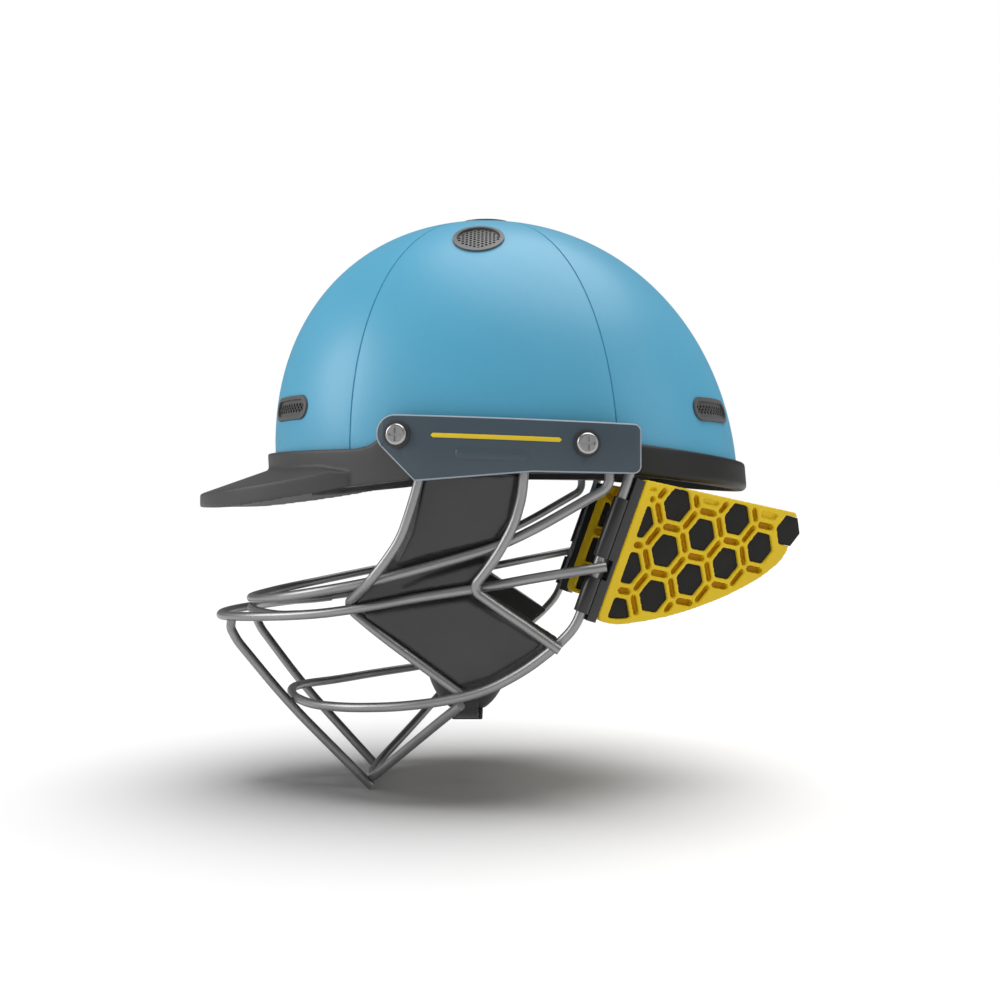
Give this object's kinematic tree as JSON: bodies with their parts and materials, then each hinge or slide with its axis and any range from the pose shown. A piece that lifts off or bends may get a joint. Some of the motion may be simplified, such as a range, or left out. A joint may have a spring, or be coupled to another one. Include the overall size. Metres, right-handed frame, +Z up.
{
  "type": "cricket helmet with face grille and neck guards",
  "caption": "Peaked batting helmet with a vented shell, a wire face grille on side plates, padded cheek wires, a swinging chin strap and hinged honeycomb neck guards.",
  "frame": {"origin": "centre of the shell's rim plane, on the middle plane, where the head comes in", "axes": "-Y to the front (the face), +Y back, +X the wearer's left, +Z up to the crown"},
  "size_m": [0.2226, 0.3365, 0.3228],
  "materials": {
    "shell": "smooth satin sky blue",
    "liner_foam": "fine expanded foam",
    "comfort_cloth": "brushed cloth over foam",
    "peak_plastic": "fine grained grey",
    "trim_rubber": "soft black",
    "round_vent_plastic": "grey moulded",
    "long_vent_plastic": "dark grey moulded",
    "plate_plastic": "slate blue, light bevelled edge",
    "fixings_steel": "polished",
    "spacer_plastic": "black moulded",
    "grille_steel": "satin grey",
    "cheek_pad_foam": "moulded foam skin",
    "webbing": "woven nylon",
    "cup_plastic": "soft grey moulded",
    "buckle_plastic": "black moulded",
    "clip_plastic": "black moulded",
    "guard_plastic": "yellow soft moulded",
    "guard_foam": "fine black foam"
  },
  "bodies": {
    "helmet": {"outer_shell": "shell", "impact_liner": "liner_foam", "crown_pad": "comfort_cloth", "brow_pad": "comfort_cloth", "rear_pad": "comfort_cloth", "left_side_pad": "comfort_cloth", "right_side_pad": "comfort_cloth", "peak": "peak_plastic", "rear_trim": "trim_rubber", "crown_vent": "round_vent_plastic", "left_top_vent": "round_vent_plastic", "right_top_vent": "round_vent_plastic", "left_front_vent": "long_vent_plastic", "right_front_vent": "long_vent_plastic", "left_rear_vent": "long_vent_plastic", "right_rear_vent": "long_vent_plastic", "left_side_plate": "plate_plastic", "right_side_plate": "plate_plastic", "plate_screws": "fixings_steel", "plate_washers": "fixings_steel", "plate_spacers": "spacer_plastic", "plate_nuts": "fixings_steel", "upper_wire": "grille_steel", "middle_wire": "grille_steel", "front_arc_wire": "grille_steel", "lower_wire": "grille_steel", "left_front_cheek_wire": "grille_steel", "right_front_cheek_wire": "grille_steel", "left_rear_cheek_wire": "grille_steel", "right_rear_cheek_wire": "grille_steel", "left_chin_wire": "grille_steel", "right_chin_wire": "grille_steel", "chin_vee_wire": "grille_steel", "left_cheek_pad": "cheek_pad_foam", "right_cheek_pad": "cheek_pad_foam", "left_strap_anchor": "buckle_plastic", "right_strap_anchor": "buckle_plastic"},
    "chin_strap": {"left_chin_strap": "webbing", "right_chin_strap": "webbing", "chin_cup": "cup_plastic", "strap_slider": "buckle_plastic", "strap_buckle": "buckle_plastic"},
    "left_guard": {"left_guard_clip": "clip_plastic", "left_guard_frame": "guard_plastic", "left_guard_foam": "guard_foam"},
    "right_guard": {"right_guard_clip": "clip_plastic", "right_guard_frame": "guard_plastic", "right_guard_foam": "guard_foam"}
  },
  "joints": [
    {"name": "chin_strap_swing", "type": "hinge", "parent": "helmet", "child": "chin_strap", "pos_m": [0, -0.0225, 0.008], "axis": [1, 0, 0], "range_deg": [-20, 20]},
    {"name": "left_guard_hinge", "type": "hinge", "parent": "helmet", "child": "left_guard", "pos_m": [0.0985, 0.04894, -0.03822], "axis": [0, -0.335, -0.9422], "range_deg": [-5, 18]},
    {"name": "right_guard_hinge", "type": "hinge", "parent": "helmet", "child": "right_guard", "pos_m": [-0.0985, 0.04894, -0.03822], "axis": [0, 0.335, 0.9422], "range_deg": [-5, 18]}
  ]
}
